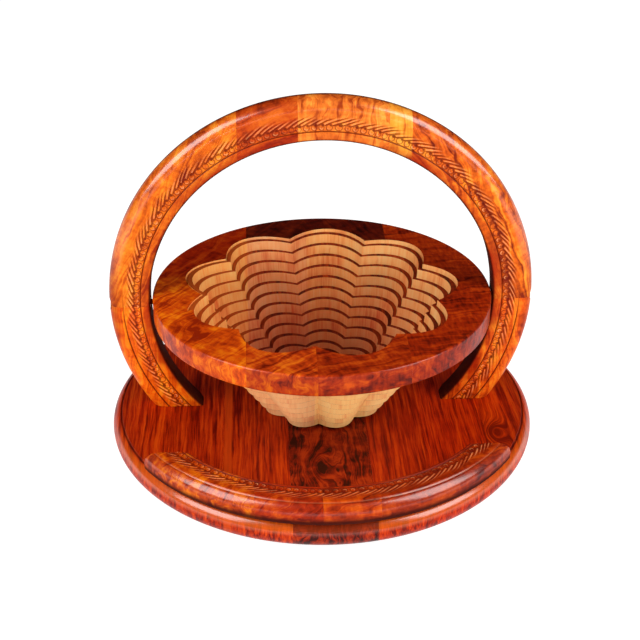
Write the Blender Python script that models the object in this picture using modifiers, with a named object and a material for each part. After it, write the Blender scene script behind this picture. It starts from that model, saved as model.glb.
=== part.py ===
# Collapsible wooden basket: a spiral-sawn disc hung between the limbs of a folding ring handle,
# standing on a round base that carries the ring's missing front part as a rail.
# Metres, +Z up, front of the basket towards -Y, origin at the middle of the base's underside.

import math

import bpy

# Clearances
GAP = 0.0003                    # between pieces that touch, are glued or rest on each other
OVERRUN = 0.012                 # how far a cutter stands past what it cuts
MERGE = 0.00001                 # points closer than this are one

# Base, glued from boards that run front to back
BASE_RADIUS = 0.1524
BASE_HEIGHT = 0.0195
QUIRK_INSET = 0.0062            # from the edge to the groove between flat top and round edge
QUIRK_WIDTH = 0.0018
QUIRK_DEPTH = 0.0014
BASE_STEPS = 108
BEAD_STEPS = 8
BASE_SEAM_SHARES = (-0.72, -0.47, -0.17, 0.19, 0.45, 0.74)

# Ring, sawn from the same board as the basket: handle above, rail on the base. The board is glued
# from strips that run front to back in it, so its seams keep their place across the basket.
BOARD_THICKNESS = 0.0156
RING_LEDGE = 0.0038             # the base stands out this far round the laid ring
RING_WIDTH = 0.0287
PIVOT_HEIGHT = 0.1025           # ring centre above the floor
SHOULDER_ROUND = 0.0085         # outer edge on the carved side
BACK_ROUND = 0.0040             # outer edge on the plain side
SHOULDER_STEPS = 4
BACK_STEPS = 2
INNER_CHAMFER = 0.0016
INNER_BAND = 0.0066             # plain band inside the inner carved line
OUTER_LINE_INSET = 0.0100       # outer carved line, from the outer radius
LINE_WIDTH = 0.0012
LINE_DEPTH = 0.0007
RING_STEPS = 72
FOOT_EASE = 0.0037              # eased back edge under each foot
RAIL_FORWARD = 0.0050           # the rail's centre in front of the base's
RAIL_WIDTH = 0.0231             # the rail is trimmed on its inner side
RAIL_INNER_BAND = 0.0026
RAIL_LINE_INSET = 0.0060        # its outer carved line runs on the shoulder
CROWN_SEAM_SHARES = (-0.377, -0.108, 0.296, 0.397, 0.585)
RAIL_SEAM_SHARES = (-0.336, -0.045, 0.205)

# Basket, one disc sawn along a nine-lobed spiral
RIM_CLEARANCE = 0.0018          # between the ring and the disc that is sawn out of it
RIM_WIDTH = 0.0206              # from the edge to where the cut begins, at a lobe's crown
RIM_EDGE_ROUND = 0.0015
RIM_EDGE_STEPS = 2
RIM_STEPS = 96
RIM_SEAM_SHARES = (-0.45, -0.07, 0.44)
LOOP_PITCH = 0.0048             # the cut draws in by this each turn
LOOP_COUNT = 11
KERF = 0.0010
LOBE_COUNT = 9
LOBE_DEPTH_SHARE = 0.155        # depth of a cusp, of the local crown radius
LOBE_TURN_DEGREES = 4.0
STEPS_PER_LOBE = 6
SEAM_LOBE_STEP = 29             # steps from the first lobe's crown to where the cut begins

# Pivot screws, through the handle into the rim
SHANK_RADIUS = 0.0021
SCREW_HOLD = 0.0129             # held in the rim
HEAD_RADIUS = 0.0044
HEAD_HEIGHT = 0.0028
HEAD_RECESS = 0.0014
SLOT_WIDTH = 0.0010
SLOT_DEPTH = 0.0010
POINT_LENGTH = 0.0030
HOLE_CLEARANCE = 0.0004
SCREW_SIDES = 24

# Worked out from the sizes above
BEAD_RADIUS = BASE_HEIGHT / 2
QUIRK_RADIUS = BASE_RADIUS - QUIRK_INSET
RING_OUTER_RADIUS = BASE_RADIUS - RING_LEDGE
RING_INNER_RADIUS = RING_OUTER_RADIUS - RING_WIDTH
RIM_RADIUS = RING_INNER_RADIUS - RIM_CLEARANCE
OPENING_RADIUS = RIM_RADIUS - RIM_WIDTH
SCREW_LENGTH = RING_WIDTH - HEAD_RECESS + RIM_CLEARANCE + SCREW_HOLD
HALF_BOARD = BOARD_THICKNESS / 2
FOOT_LEVEL = BASE_HEIGHT + GAP
LOOP_DROP = (PIVOT_HEIGHT - HALF_BOARD - FOOT_LEVEL) / LOOP_COUNT
SAW_LEAN = (KERF - GAP) / LOOP_DROP     # lean of the sawn walls, which wedges each loop in the next
TURN_STEPS = LOBE_COUNT * STEPS_PER_LOBE
LOBE_TURN = math.radians(LOBE_TURN_DEGREES)
SEAM_ANGLE = LOBE_TURN + math.tau * SEAM_LOBE_STEP / TURN_STEPS
QUARTER = math.pi / 2

WOODS = {
    "base_wood": ((0.255, 0.035, 0.008), 0.30, 0.0),
    "ring_wood": ((0.480, 0.115, 0.016), 0.28, 0.0),
    "rim_wood": ((0.330, 0.060, 0.010), 0.30, 0.0),
    "sawn_wood": ((0.640, 0.290, 0.110), 0.60, 0.0),
    "screw_brass": ((0.720, 0.480, 0.180), 0.30, 1.0),
}


def make_collection(name):
    made = bpy.data.collections.new(name)
    bpy.context.scene.collection.children.link(made)
    return made


def make_material(node_name, wood):
    colour, roughness, metallic = WOODS[wood]
    made = bpy.data.materials.new(node_name + "_" + wood)
    made.use_nodes = True
    shader = made.node_tree.nodes["Principled BSDF"]
    shader.inputs["Base Color"].default_value = (*colour, 1.0)
    shader.inputs["Roughness"].default_value = roughness
    shader.inputs["Metallic"].default_value = metallic
    return made


def make_object(name, points, edges, faces, place=(0, 0, 0), turn=(0, 0, 0)):
    mesh = bpy.data.meshes.new(name)
    mesh.from_pydata(points, edges, faces)
    made = bpy.data.objects.new(name, mesh)
    made.location = place
    made.rotation_euler = turn
    return made


def finish_part(made, wood, parent=None):
    """Link a sub-part, give it its own material and set it under its body's empty."""
    parts.objects.link(made)
    made.data.materials.append(make_material(made.name, wood))
    if parent:
        made.parent = parent
        made.location = [a - b for a, b in zip(made.location, parent.location)]
    return made


def finish_cutter(made):
    cutters.objects.link(made)
    made.hide_render = True
    made.display_type = "WIRE"
    return made


def make_body(name, place):
    made = bpy.data.objects.new(name, None)
    made.location = place
    parts.objects.link(made)
    return made


def add_screw(made, steps):
    turned = made.modifiers.new("Turned", "SCREW")
    turned.steps = steps
    turned.render_steps = steps
    turned.use_merge_vertices = True
    turned.merge_threshold = MERGE
    turned.use_smooth_shade = True


def add_cut(made, cutter):
    cut = made.modifiers.new(cutter.name, "BOOLEAN")
    cut.operation = "DIFFERENCE"
    cut.object = cutter


def turned_piece(name, profile, steps, closed, place=(0, 0, 0), turn=(0, 0, 0)):
    """A profile of (radius, height), run down its outer side, turned about the local Z axis."""
    points = [(radius, 0, height) for radius, height in profile]
    edges = [(step, step + 1) for step in range(len(points) - 1)]
    if closed:
        edges.append((len(points) - 1, 0))
    made = make_object(name, points, edges, [], place, turn)
    add_screw(made, steps)
    return made


def box_cutter(name, low, high, place=(0, 0, 0), turn=(0, 0, 0)):
    """A box between two corners of its own frame, for cutting."""
    size = [b - a for a, b in zip(low, high)]
    bpy.ops.mesh.primitive_cube_add(size=1.0)
    made = bpy.context.object
    made.name = name
    middle = [(a + b) / 2 for a, b in zip(low, high)]
    for vertex in made.data.vertices:
        vertex.co = [c + v * s for c, v, s in zip(middle, vertex.co, size)]
    made.location = place
    made.rotation_euler = turn
    for linked in list(made.users_collection):
        linked.objects.unlink(made)
    return finish_cutter(made)


def arc(centre, radius, start, end, steps):
    """Points on an arc, both ends included, angles in quarter turns from +radius towards +height."""
    points = []
    for step in range(steps + 1):
        angle = QUARTER * (start + (end - start) * step / steps)
        points.append((centre[0] + radius * math.cos(angle), centre[1] + radius * math.sin(angle)))
    return points


# Base

def base_profile():
    """Flat top, carved groove and half-round edge, run down the outer side."""
    bead = (BASE_RADIUS - BEAD_RADIUS, BEAD_RADIUS)
    groove_end = QUIRK_RADIUS + QUIRK_WIDTH / 2
    top = [
        (0, BASE_HEIGHT),
        (QUIRK_RADIUS - QUIRK_WIDTH / 2, BASE_HEIGHT),
        (QUIRK_RADIUS, BASE_HEIGHT - QUIRK_DEPTH),
    ]
    rounded = [
        point for point in arc(bead, BEAD_RADIUS, 1, -1, BEAD_STEPS)
        if point[0] > groove_end or point[1] < BEAD_RADIUS
    ]
    return top + rounded + [(0, 0)]


def side_cutters(label, seams, reach):
    """For each seam across X, a pair of boxes that clear its left and its right side."""
    made = []
    for count, seam in enumerate(seams, 1):
        left = box_cutter(
            f"{label}_seam_{count}_left", (-reach, -reach, -reach), (seam + GAP / 2, reach, reach)
        )
        right = box_cutter(
            f"{label}_seam_{count}_right", (seam - GAP / 2, -reach, -reach), (reach, reach, reach)
        )
        made.append((left, right))
    return made


def cut_strip(piece, seams, strip):
    """Leave only the strip of a piece that lies between two of the seams."""
    if strip > 0:
        add_cut(piece, seams[strip - 1][0])
    if strip < len(seams):
        add_cut(piece, seams[strip][1])


def build_base():
    reach = BASE_RADIUS + OVERRUN
    seams = side_cutters("base", [BASE_RADIUS * share for share in BASE_SEAM_SHARES], reach)
    for count in range(len(seams) + 1):
        board = turned_piece(f"base_board_{count + 1}", base_profile(), BASE_STEPS, closed=False)
        cut_strip(board, seams, count)
        finish_part(board, "base_wood")


# Ring: handle and rail

def carved_line(radius):
    """A groove in the carved side, which falls away over the shoulder, from inside to outside."""
    past = max(0, radius - RING_OUTER_RADIUS + SHOULDER_ROUND)
    surface = HALF_BOARD - SHOULDER_ROUND + math.sqrt(SHOULDER_ROUND ** 2 - past ** 2)
    return [
        (radius - LINE_WIDTH / 2, surface),
        (radius, surface - LINE_DEPTH),
        (radius + LINE_WIDTH / 2, surface),
    ]


def ring_profile(inner_radius, inner_band, line_inset):
    """Section of the ring, carved side up, run down its outer side."""
    top = HALF_BOARD
    shoulder = (RING_OUTER_RADIUS - SHOULDER_ROUND, top - SHOULDER_ROUND)
    back = (RING_OUTER_RADIUS - BACK_ROUND, BACK_ROUND - top)
    outer_line = RING_OUTER_RADIUS - line_inset
    rounded = [
        point for point in arc(shoulder, SHOULDER_ROUND, 1, 0, SHOULDER_STEPS)
        if abs(point[0] - outer_line) > LINE_WIDTH / 2
    ]
    carved = carved_line(outer_line)
    return (
        [point for point in rounded if point[0] > outer_line]
        + arc(back, BACK_ROUND, 0, -1, BACK_STEPS)
        + [
            (inner_radius + INNER_CHAMFER / 2, -top),
            (inner_radius, -top + INNER_CHAMFER / 2),
            (inner_radius, top - INNER_CHAMFER),
            (inner_radius + INNER_CHAMFER, top),
        ]
        + carved_line(inner_radius + inner_band)
        + [point for point in rounded if point[0] < outer_line]
        + carved
    )


def build_rail():
    """The part of the ring below the feet, laid flat on the base, carved side up."""
    place = (0, -RAIL_FORWARD, FOOT_LEVEL + HALF_BOARD)
    reach = RING_OUTER_RADIUS + OVERRUN
    front_of_feet = FOOT_LEVEL - PIVOT_HEIGHT
    behind = box_cutter("rail_ends", (-reach, front_of_feet, -reach), (reach, reach, reach), place)
    seams = side_cutters("rail", [RING_OUTER_RADIUS * share for share in RAIL_SEAM_SHARES], reach)
    section = ring_profile(RING_OUTER_RADIUS - RAIL_WIDTH, RAIL_INNER_BAND, RAIL_LINE_INSET)
    for count in range(len(seams) + 1):
        name = f"rail_segment_{count + 1}"
        piece = turned_piece(name, section, RING_STEPS, closed=True, place=place)
        add_cut(piece, behind)
        cut_strip(piece, seams, count)
        finish_part(piece, "ring_wood")


def screw_profile(grow, tail, head_reach):
    """Countersunk screw along its own axis, head top at height 0, grown by a clearance for its hole."""
    neck = -HEAD_HEIGHT - grow
    profile = [(0, head_reach)]
    if head_reach > 0:
        profile.append((HEAD_RADIUS + grow, head_reach))
    profile += [
        (HEAD_RADIUS + grow, 0),
        (SHANK_RADIUS + grow, neck),
        (SHANK_RADIUS + grow, -tail + POINT_LENGTH),
        (0, -tail),
    ]
    return profile


def side_turn(side):
    """Turn that lays a local +Z axis along +X or -X."""
    return (0, QUARTER * side, 0)


def head_place(side):
    return (side * (RING_OUTER_RADIUS - HEAD_RECESS), 0, PIVOT_HEIGHT)


def build_pivots(basket):
    """The two screws that the rim hangs and turns on, and the cutters for their holes."""
    holes = []
    for side, word in ((-1, "left"), (1, "right")):
        loose = turned_piece(
            f"pivot_hole_{word}",
            screw_profile(HOLE_CLEARANCE, SCREW_LENGTH + HOLE_CLEARANCE, OVERRUN),
            SCREW_SIDES, closed=False, place=head_place(side), turn=side_turn(side),
        )
        holes.append(finish_cutter(loose))
        reach = HEAD_RADIUS + OVERRUN
        slot = box_cutter(
            f"pivot_slot_{word}",
            (-reach, -SLOT_WIDTH / 2, -SLOT_DEPTH),
            (reach, SLOT_WIDTH / 2, SLOT_DEPTH),
            head_place(side), side_turn(side),
        )
        screw = turned_piece(
            f"pivot_screw_{word}", screw_profile(0, SCREW_LENGTH, 0),
            SCREW_SIDES, closed=False, place=head_place(side), turn=side_turn(side),
        )
        add_cut(screw, slot)
        finish_part(screw, "screw_brass", basket)
    return holes


def foot_cutter(place, reach):
    """A prism along X that cuts both feet level and eases their back edge at 45 degrees."""
    level = FOOT_LEVEL - PIVOT_HEIGHT
    outline = [
        (-reach, -reach),
        (reach, -reach),
        (reach, level + FOOT_EASE + reach - HALF_BOARD),
        (HALF_BOARD - FOOT_EASE, level),
        (-reach, level),
    ]
    count = len(outline)
    points = [(side * reach, y, z) for side in (-1, 1) for y, z in outline]
    faces = [tuple(range(count - 1, -1, -1)), tuple(range(count, 2 * count))]
    for corner in range(count):
        after = (corner + 1) % count
        faces.append((corner, after, count + after, count + corner))
    return finish_cutter(make_object("handle_feet", points, [], faces, place))


def build_handle(handle, holes):
    """The ring above the base, standing on its two feet, carved side to the front."""
    place = (0, 0, PIVOT_HEIGHT)
    reach = RING_OUTER_RADIUS + OVERRUN
    feet = foot_cutter(place, reach)
    above = box_cutter("handle_above_pivot", (-reach, -reach, -GAP / 2), (reach, reach, reach), place)
    under = box_cutter("handle_below_pivot", (-reach, -reach, -reach), (reach, reach, GAP / 2), place)
    beside = {
        "left": box_cutter("handle_right_half", (0, -reach, -reach), (reach, reach, reach), place),
        "right": box_cutter("handle_left_half", (-reach, -reach, -reach), (0, reach, reach), place),
    }
    seams = side_cutters("handle", [RING_OUTER_RADIUS * share for share in CROWN_SEAM_SHARES], reach * 2)
    section = ring_profile(RING_INNER_RADIUS, INNER_BAND, OUTER_LINE_INSET)
    pieces = [(f"handle_leg_{side}", [above, feet, beside[side]], None) for side in beside]
    pieces += [(f"handle_crown_{strip + 1}", [under], strip) for strip in range(len(seams) + 1)]
    for name, cuts, strip in pieces:
        piece = turned_piece(name, section, RING_STEPS, closed=True, place=place, turn=(QUARTER, 0, 0))
        for cutter in cuts:
            add_cut(piece, cutter)
        if strip is not None:
            cut_strip(piece, seams, strip)
        if name.endswith("left") or strip == 0:
            add_cut(piece, holes[0])
        if name.endswith("right") or strip == len(seams):
            add_cut(piece, holes[1])
        finish_part(piece, "ring_wood", handle)


# Basket

def saw_radius(turns, angle):
    """Distance of the saw cut from the middle after some turns, at mid-thickness."""
    crown = OPENING_RADIUS - LOOP_PITCH * turns
    lobe = abs(math.cos(LOBE_COUNT / 2 * (angle - LOBE_TURN)))
    return crown * (1 - LOBE_DEPTH_SHARE * (1 - lobe))


def saw_point(turns, extra, height, drop):
    """A point on a sawn wall: outside the cut by extra, height above mid-board, lowered by drop."""
    angle = SEAM_ANGLE - math.tau * turns
    radius = saw_radius(turns, angle) + extra + height * SAW_LEAN
    return (radius * math.cos(angle), radius * math.sin(angle), height - drop)


def saw_point_inner(turns, height, drop):
    """The strip's inner wall, one turn further in, a kerf short of the cut."""
    return saw_point(turns + 1, KERF, height, drop)


def seam_slip(turns):
    """The share of a turn that leaves the clearance between two ends of the strip."""
    return GAP / (math.tau * saw_radius(turns, SEAM_ANGLE))


def loop_strip(name, number):
    """One turn of the sawn strip: it starts where the last one ended and falls by one drop."""
    start = number - 1
    points = []
    for step in range(TURN_STEPS + 1):
        turns = start + step / TURN_STEPS
        if step == TURN_STEPS:
            turns -= seam_slip(turns)
        drop = turns * LOOP_DROP
        points += [
            saw_point(turns, 0, HALF_BOARD, drop),
            saw_point(turns, 0, -HALF_BOARD, drop),
            saw_point_inner(turns, -HALF_BOARD, drop),
            saw_point_inner(turns, HALF_BOARD, drop),
        ]
    faces = [(0, 1, 2, 3)]
    for step in range(TURN_STEPS):
        here = 4 * step
        there = here + 4
        for corner in range(4):
            after = (corner + 1) % 4
            faces.append((here + corner, there + corner, there + after, here + after))
    last = 4 * TURN_STEPS
    faces.append((last + 3, last + 2, last + 1, last))
    return make_object(name, points, [], faces, (0, 0, PIVOT_HEIGHT))


def flower(name, first_turn, extra, low, high, place):
    """A solid inside one turn of the cut, with the step where the turn closes."""
    rows = []
    for height in (low, high):
        turns = [first_turn + step / TURN_STEPS for step in range(TURN_STEPS + 1)]
        rows.append([saw_point(turn, extra, height, 0) for turn in turns])
    count = TURN_STEPS + 1
    points = rows[0] + rows[1]
    faces = [tuple(range(count)), tuple(range(2 * count - 1, count - 1, -1))]
    for step in range(count):
        after = (step + 1) % count
        faces.append((step, count + step, count + after, after))
    return make_object(name, points, [], faces, place)


def rim_profile():
    outer = RIM_RADIUS - RIM_EDGE_ROUND
    level = HALF_BOARD - RIM_EDGE_ROUND
    return (
        [(0, HALF_BOARD)]
        + arc((outer, level), RIM_EDGE_ROUND, 1, 0, RIM_EDGE_STEPS)
        + arc((outer, -level), RIM_EDGE_ROUND, 0, -1, RIM_EDGE_STEPS)
        + [(0, -HALF_BOARD)]
    )


def build_rim(basket, holes):
    place = (0, 0, PIVOT_HEIGHT)
    reach = RIM_RADIUS + OVERRUN
    opening = finish_cutter(flower(
        "rim_opening", -seam_slip(0), KERF, -HALF_BOARD - OVERRUN, HALF_BOARD + OVERRUN, place
    ))
    seams = side_cutters("rim", [RIM_RADIUS * share for share in RIM_SEAM_SHARES], reach)
    halves = {
        "back": box_cutter(
            "rim_front_half", (-reach, -reach, -reach), (reach, LOOP_PITCH, reach), place
        ),
        "front": box_cutter(
            "rim_back_half", (-reach, LOOP_PITCH, -reach), (reach, reach, reach), place
        ),
    }
    pieces = [("rim_left", 0, None), ("rim_right", len(seams), None)]
    for strip in range(1, len(seams)):
        for half in halves:
            pieces.append((f"rim_{half}_{strip}", strip, half))
    for name, strip, half in pieces:
        piece = turned_piece(name, rim_profile(), RIM_STEPS, closed=False, place=place)
        cut_strip(piece, seams, strip)
        if half:
            add_cut(piece, halves[half])
        add_cut(piece, opening)
        if strip == 0:
            add_cut(piece, holes[0])
        if strip == len(seams):
            add_cut(piece, holes[1])
        finish_part(piece, "rim_wood", basket)


def build_spiral(basket):
    for number in range(1, LOOP_COUNT + 1):
        finish_part(loop_strip(f"spiral_loop_{number:02d}", number), "sawn_wood", basket)
    low = PIVOT_HEIGHT - LOOP_COUNT * LOOP_DROP
    rosette = flower("spiral_bottom", LOOP_COUNT, 0, -HALF_BOARD, HALF_BOARD, (0, 0, low))
    finish_part(rosette, "sawn_wood", basket)


for thing in list(bpy.data.objects):
    bpy.data.objects.remove(thing, do_unlink=True)
parts = make_collection("collapsible_wooden_basket")
cutters = make_collection("cutters")
basket_body = make_body("basket_body", (0, 0, PIVOT_HEIGHT))
handle_body = make_body("handle_body", (0, 0, PIVOT_HEIGHT))
build_base()
build_rail()
pivot_holes = build_pivots(basket_body)
build_handle(handle_body, pivot_holes)
build_rim(basket_body, pivot_holes)
build_spiral(basket_body)
print(f"loop drop {LOOP_DROP * 1000:.2f} mm, {LOOP_COUNT} loops, {len(parts.objects) - 2} pieces")
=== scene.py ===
# Looks of the collapsible wooden basket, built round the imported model.
# Metres, +Z up, the carved side of the ring towards -Y.

import math
import random

import bpy
from mathutils import Matrix, Vector


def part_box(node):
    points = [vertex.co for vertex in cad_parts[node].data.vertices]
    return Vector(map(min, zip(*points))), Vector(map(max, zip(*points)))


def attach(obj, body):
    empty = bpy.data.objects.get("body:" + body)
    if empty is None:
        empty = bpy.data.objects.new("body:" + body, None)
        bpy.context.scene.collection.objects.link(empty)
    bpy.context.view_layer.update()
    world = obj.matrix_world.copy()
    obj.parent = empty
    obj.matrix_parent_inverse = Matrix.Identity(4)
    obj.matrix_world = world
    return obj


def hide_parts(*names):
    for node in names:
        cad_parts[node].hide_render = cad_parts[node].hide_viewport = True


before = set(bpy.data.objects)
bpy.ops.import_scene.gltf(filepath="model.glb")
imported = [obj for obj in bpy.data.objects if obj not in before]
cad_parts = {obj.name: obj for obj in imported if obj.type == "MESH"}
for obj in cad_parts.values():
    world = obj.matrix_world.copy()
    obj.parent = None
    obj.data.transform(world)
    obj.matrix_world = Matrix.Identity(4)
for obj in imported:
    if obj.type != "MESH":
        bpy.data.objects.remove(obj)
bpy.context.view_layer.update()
print("stage: frame loaded,", len(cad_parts), "nodes")

mm = 0.001
sharpDegrees = 32
mergeDistance = 0.002 * mm


def boxOf(word):
    # lowest and highest corner of all CAD nodes whose name starts with the word
    corners = [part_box(name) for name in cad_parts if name.startswith(word)]
    low = Vector([min(low[axis] for low, high in corners) for axis in range(3)])
    high = Vector([max(high[axis] for low, high in corners) for axis in range(3)])
    return low, high


def seamsOf(words):
    # places across X where one strip of a board ends and the next begins
    boxes = [boxOf(word) for word in words]
    return [(a[1].x + b[0].x) / 2 for a, b in zip(boxes, boxes[1:])]


# sizes read from the frame
baseHigh = boxOf("base_board")[1]
ringHigh = boxOf("handle_crown")[1]
rimLow, rimHigh = boxOf("rim_")
footLevel = boxOf("handle_leg")[0].z
pivotHeight = (rimLow.z + rimHigh.z) / 2
boardThick = rimHigh.z - rimLow.z
halfBoard = boardThick / 2
ringOuter = ringHigh.z - pivotHeight
rimRadius = rimHigh.x
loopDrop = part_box("spiral_loop_01")[0].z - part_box("spiral_loop_02")[0].z
loopCount = len([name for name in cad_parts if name.startswith("spiral_loop")])


# modelling helpers

def makeActive(obj):
    bpy.ops.object.select_all(action="DESELECT")
    obj.select_set(True)
    bpy.context.view_layer.objects.active = obj


def startEdit(obj):
    makeActive(obj)
    bpy.ops.object.mode_set(mode="EDIT")
    bpy.ops.mesh.select_all(action="SELECT")


def endEdit():
    bpy.ops.object.mode_set(mode="OBJECT")


def addPrimitive(name, operator, **options):
    bpy.ops.object.select_all(action="DESELECT")
    operator(**options)
    bpy.context.object.name = name
    return bpy.context.object


def addObject(name, data):
    obj = bpy.data.objects.new(name, data)
    bpy.context.scene.collection.objects.link(obj)
    return obj


def addOutline(name, outline, turn=0.0):
    # a circle whose corners are moved onto an outline of (radius, height)
    obj = addPrimitive(name, bpy.ops.mesh.primitive_circle_add, vertices=len(outline), fill_type="NOTHING")
    for vertex, (radius, height) in zip(obj.data.vertices, outline):
        vertex.co = (radius * math.cos(turn), radius * math.sin(turn), height)
    return obj


def spinOutline(obj, steps, sweep=math.tau):
    # turns the outline clockwise from above about the Z axis
    startEdit(obj)
    bpy.ops.mesh.spin(steps=steps, angle=sweep, center=(0, 0, 0), axis=(0, 0, 1))
    bpy.ops.mesh.select_all(action="SELECT")
    bpy.ops.mesh.remove_doubles(threshold=mergeDistance)
    bpy.ops.mesh.normals_make_consistent(inside=False)
    endEdit()


def turnedSolid(name, outline, steps):
    # an outline that starts and ends on the axis, turned to a closed solid
    solid = addOutline(name, outline)
    for vertex in solid.data.vertices:
        vertex.select = False
    for edge in solid.data.edges:
        edge.select = all(solid.data.vertices[corner].co.x < 0.001 * mm for corner in edge.vertices)
    makeActive(solid)
    bpy.ops.object.mode_set(mode="EDIT")
    bpy.ops.mesh.select_mode(type="EDGE")
    bpy.ops.mesh.delete(type="EDGE")
    bpy.ops.mesh.select_mode(type="VERT")
    endEdit()
    spinOutline(solid, steps)
    return solid


def cutOff(obj, point, normal):
    # removes what lies beyond a plane, on its normal's side, and closes the cut
    startEdit(obj)
    bpy.ops.mesh.bisect(plane_co=point, plane_no=normal, use_fill=True, clear_outer=True)
    endEdit()


def cutStrip(obj, seams, strip, joint):
    # keeps one strip of a board, from the seam before it to the seam after it
    if strip > 0:
        cutOff(obj, (seams[strip - 1] + joint / 2, 0, 0), (-1, 0, 0))
    if strip < len(seams):
        cutOff(obj, (seams[strip] - joint / 2, 0, 0), (1, 0, 0))


def fixNormals(obj):
    startEdit(obj)
    bpy.ops.mesh.remove_doubles(threshold=mergeDistance)
    bpy.ops.mesh.normals_make_consistent(inside=False)
    endEdit()


def smoothShade(obj, degrees):
    makeActive(obj)
    bpy.ops.object.shade_smooth_by_angle(angle=math.radians(degrees))


def copyOf(obj, name):
    return addObject(name, obj.data.copy())


def carveOut(obj, cutter):
    # boolean difference, applied
    makeActive(obj)
    cut = obj.modifiers.new("cut", "BOOLEAN")
    cut.operation = "DIFFERENCE"
    cut.solver = "EXACT"
    cut.object = cutter
    bpy.ops.object.modifier_apply(modifier="cut")


def removeObject(obj):
    bpy.data.objects.remove(obj, do_unlink=True)


def arcPoints(centre, radius, start, end, steps):
    # both ends included, angles in degrees from +radius towards +height
    points = []
    for step in range(steps + 1):
        angle = math.radians(start + (end - start) * step / steps)
        points.append((centre[0] + radius * math.cos(angle), centre[1] + radius * math.sin(angle)))
    return points


def finishPiece(obj, body, nodes, materials):
    obj.data.name = obj.name
    obj.data.materials.clear()
    for material in materials:
        obj.data.materials.append(material)
    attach(obj, body)
    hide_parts(*nodes)


# node helpers

def colour(red, green, blue):
    # a display colour of 0 to 255 as the linear colour that a shader takes
    parts = []
    for part in (red, green, blue):
        share = part / 255
        parts.append(share / 12.92 if share <= 0.04045 else ((share + 0.055) / 1.055) ** 2.4)
    return (*parts, 1.0)


class Signal:
    # a value in a shader's nodes, which can be added to, taken from and multiplied
    def __init__(self, tree, socket):
        self.tree = tree
        self.socket = socket

    def __add__(self, other):
        return maths(self.tree, "ADD", self, other)

    def __sub__(self, other):
        return maths(self.tree, "SUBTRACT", self, other)

    def __rsub__(self, other):
        return maths(self.tree, "SUBTRACT", other, self)

    def __mul__(self, other):
        return maths(self.tree, "MULTIPLY", self, other)


def feed(socket, value):
    if isinstance(value, Signal):
        value.tree.links.new(value.socket, socket)
    else:
        socket.default_value = value


def newNode(tree, kind, *values):
    # a node whose first inputs take the values
    node = tree.nodes.new("ShaderNode" + kind)
    for socket, value in zip(node.inputs, values):
        feed(socket, value)
    return node


def maths(tree, operation, *values):
    node = newNode(tree, "Math", *values)
    node.operation = operation
    return Signal(tree, node.outputs[0])


def blendColour(tree, factor, first, second, kind="MIX"):
    node = newNode(tree, "Mix")
    node.data_type = "RGBA"
    node.blend_type = kind
    feed(node.inputs["Factor"], factor)
    feed(node.inputs[6], first)
    feed(node.inputs[7], second)
    return Signal(tree, node.outputs[2])


def joinVector(tree, *parts):
    return Signal(tree, newNode(tree, "CombineXYZ", *parts).outputs[0])


def stretch(tree, parts, scales):
    # a vector of parts, each made longer or shorter by its own scale
    return joinVector(tree, *[part * scale for part, scale in zip(parts, scales)])


def splitVector(vector):
    node = newNode(vector.tree, "SeparateXYZ", vector)
    return [Signal(vector.tree, output) for output in node.outputs]


def vectorMaths(operation, first, second):
    node = newNode(first.tree, "VectorMath", first, second)
    node.operation = operation
    return Signal(first.tree, node.outputs[0])


def noise(vector, scale=1.0, detail=2.0, roughness=0.5):
    node = newNode(vector.tree, "TexNoise", vector)
    node.inputs["Scale"].default_value = scale
    node.inputs["Detail"].default_value = detail
    node.inputs["Roughness"].default_value = roughness
    return Signal(vector.tree, node.outputs[0])


def centredNoise(vector, scale=1.0, detail=2.0, roughness=0.5):
    # noise from -0.5 to 0.5
    return noise(vector, scale, detail, roughness) - 0.5


def ramp(value, low, high, smooth=False):
    node = newNode(value.tree, "MapRange", value, low, high)
    if smooth:
        node.interpolation_type = "SMOOTHSTEP"
    return Signal(value.tree, node.outputs[0])


def newGroup(name, inputs, outputs):
    tree = bpy.data.node_groups.new(name, "ShaderNodeTree")
    for label, kind, value in inputs:
        socket = tree.interface.new_socket(label, in_out="INPUT", socket_type="NodeSocket" + kind)
        if value is not None:
            socket.default_value = value
    for label, kind in outputs:
        tree.interface.new_socket(label, in_out="OUTPUT", socket_type="NodeSocket" + kind)
    given = {socket.name: Signal(tree, socket) for socket in tree.nodes.new("NodeGroupInput").outputs}
    return tree, given, tree.nodes.new("NodeGroupOutput").inputs


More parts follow.
